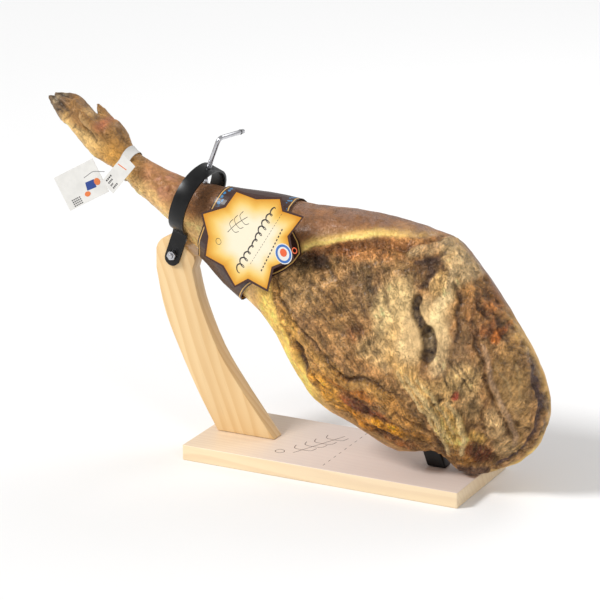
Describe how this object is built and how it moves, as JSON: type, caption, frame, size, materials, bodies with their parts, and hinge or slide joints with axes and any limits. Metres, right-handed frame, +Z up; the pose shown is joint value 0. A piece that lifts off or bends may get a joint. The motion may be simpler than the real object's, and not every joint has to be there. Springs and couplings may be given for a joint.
{
  "type": "cured ham in ham stand",
  "caption": "Whole cured bone-in ham with hoof, hung with card labels and tags, held by a screw clamp on a curved post above a flat pine board.",
  "frame": {"origin": "middle of the base board's underside", "axes": "+X along the board towards the thick end of the ham, +Y towards the skin side, away from the cut flesh face, +Z up"},
  "size_m": [0.671, 0.1516, 0.426],
  "materials": {
    "pine": "clear lacquer, satin",
    "black_enamel": "satin black",
    "bright_steel": "bright plated",
    "cured_ham": "dry cured meat, fat and rind, slightly oily",
    "dark_card": "printed card",
    "gold_card": "printed card",
    "white_card": "printed card"
  },
  "bodies": {
    "stand": {"base_board": "pine", "post": "pine", "ham_support": "black_enamel", "clamp_hoop": "black_enamel", "pivot_bolt": "bright_steel", "pivot_nut": "bright_steel", "ham": "cured_ham", "label_sleeve": "dark_card", "star_label": "gold_card", "ankle_band": "white_card", "small_tag": "white_card", "large_tag": "white_card"},
    "clamp_foot": {"clamp_foot": "bright_steel"},
    "clamp_screw": {"clamp_screw": "bright_steel"}
  },
  "joints": [
    {"name": "screw_travel", "type": "slide", "parent": "stand", "child": "clamp_foot", "axis": [0.3584, 0, 0.9336], "range_m": [0, 0.0111]},
    {"name": "screw_turn", "type": "hinge", "parent": "clamp_foot", "child": "clamp_screw", "pos_m": [-0.2284, 0, 0.2424], "axis": [0.3584, 0, 0.9336], "range_deg": [0, 2640]}
  ],
  "couplings": [
    {"joint": "screw_travel", "follows": "screw_turn", "m_per_rad": 0.00023873}
  ]
}
